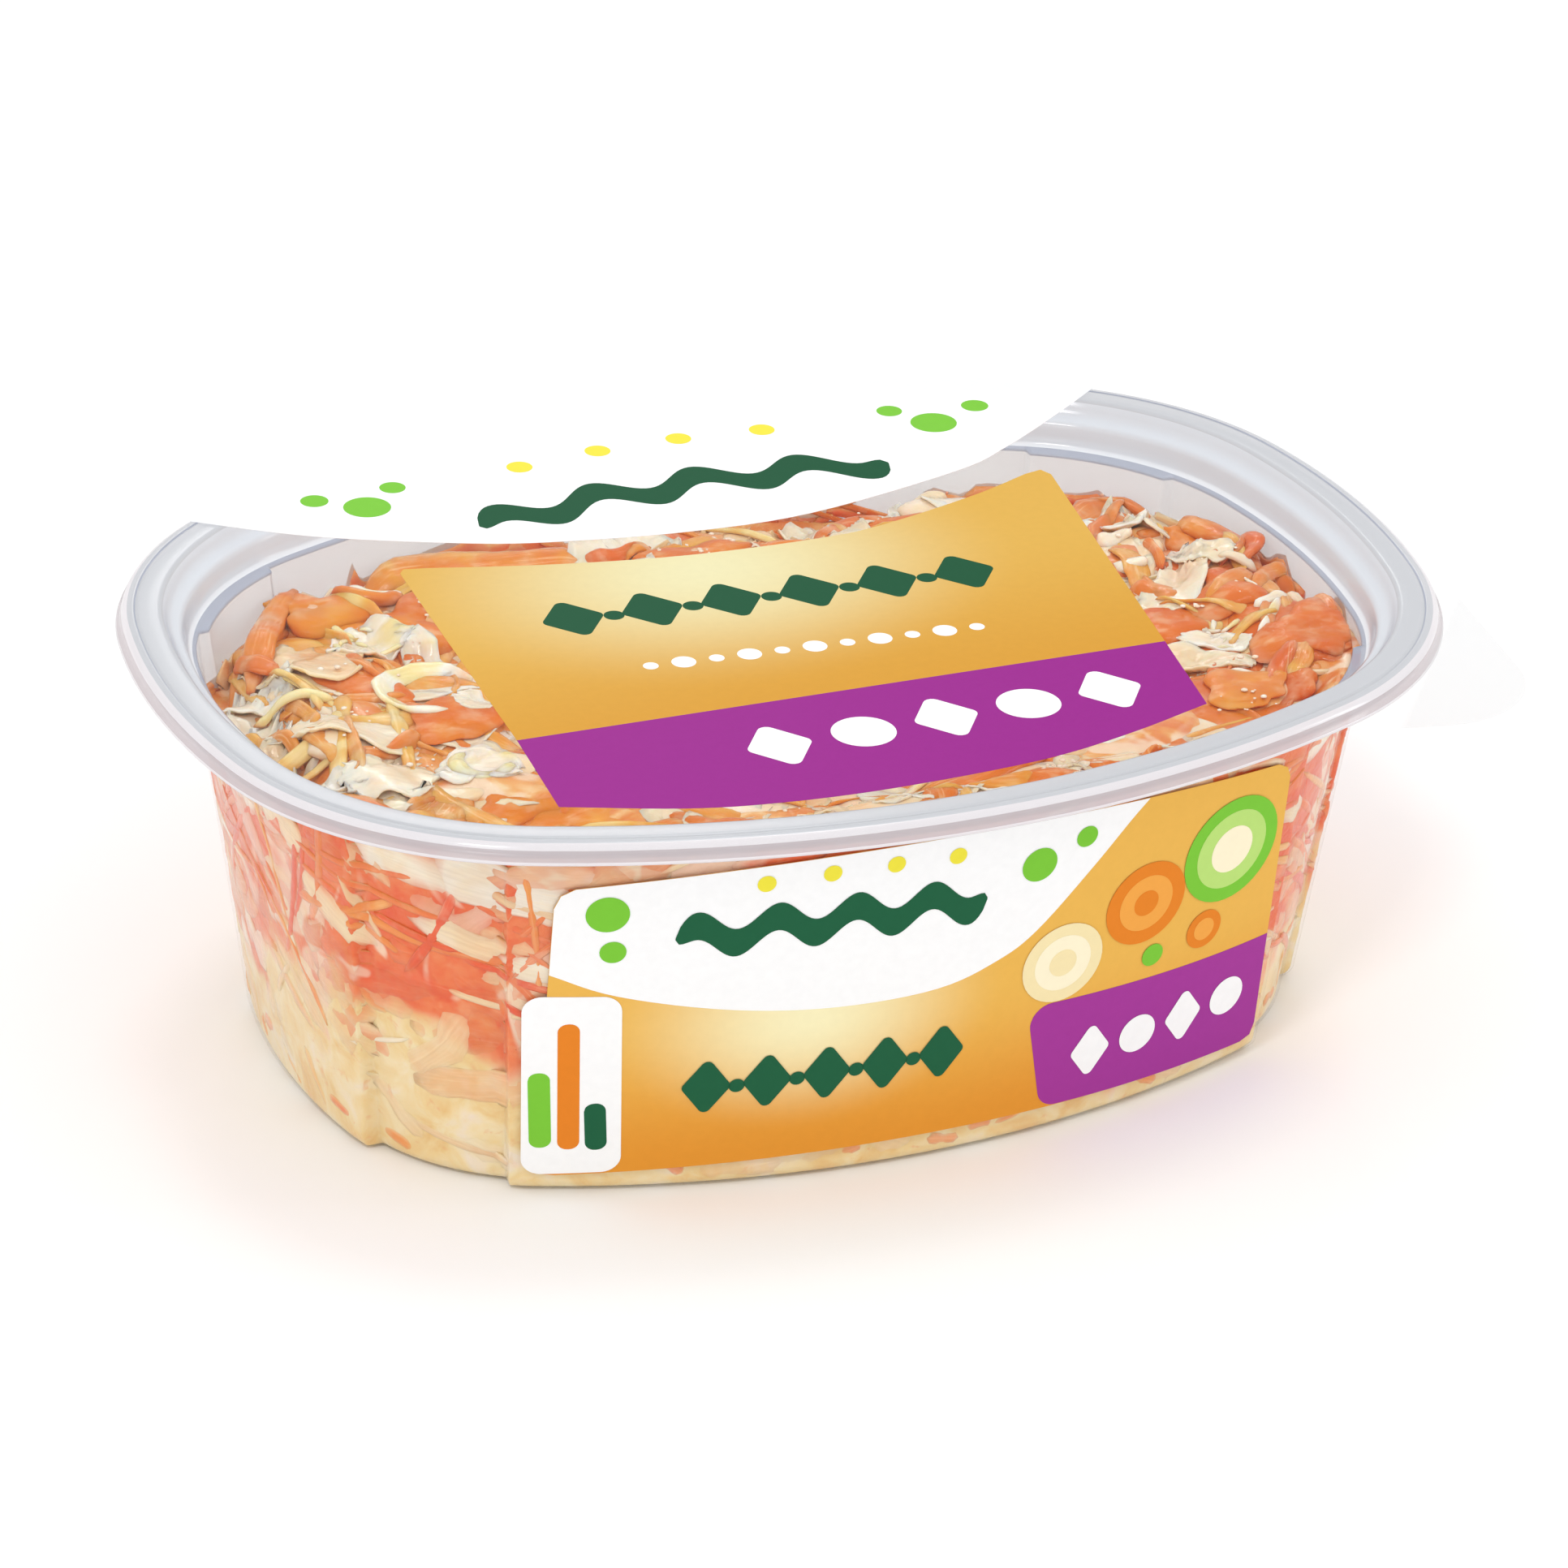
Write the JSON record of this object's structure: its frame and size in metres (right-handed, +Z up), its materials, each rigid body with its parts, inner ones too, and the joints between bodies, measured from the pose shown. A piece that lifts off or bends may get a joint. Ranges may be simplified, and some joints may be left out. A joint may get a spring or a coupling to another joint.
{
  "type": "coleslaw in a sealed clear tub",
  "caption": "Clear rounded-rectangular plastic tub filled with shredded carrot and cabbage salad in pale sauce, sealed with a printed peel-off film and labelled in front.",
  "frame": {"origin": "centre of the flat underside of the tub's base", "axes": "+X along the tub's length, +Z up, -Y towards the side with the label"},
  "size_m": [0.1466, 0.113, 0.0493],
  "materials": {
    "tub_plastic": "clear, faintly milky thermoformed plastic, smooth and glossy",
    "coleslaw": "orange carrot and cream cabbage shreds, wet with a pale yellow sauce",
    "film": "clear glossy sealing film with printed fields of white, warm yellow and purple",
    "label": "satin printed plastic label in white, warm yellow and purple"
  },
  "bodies": {
    "root": {"tub": "tub_plastic", "coleslaw": "coleslaw", "film": "film", "label_front": "label"}
  },
  "joints": []
}
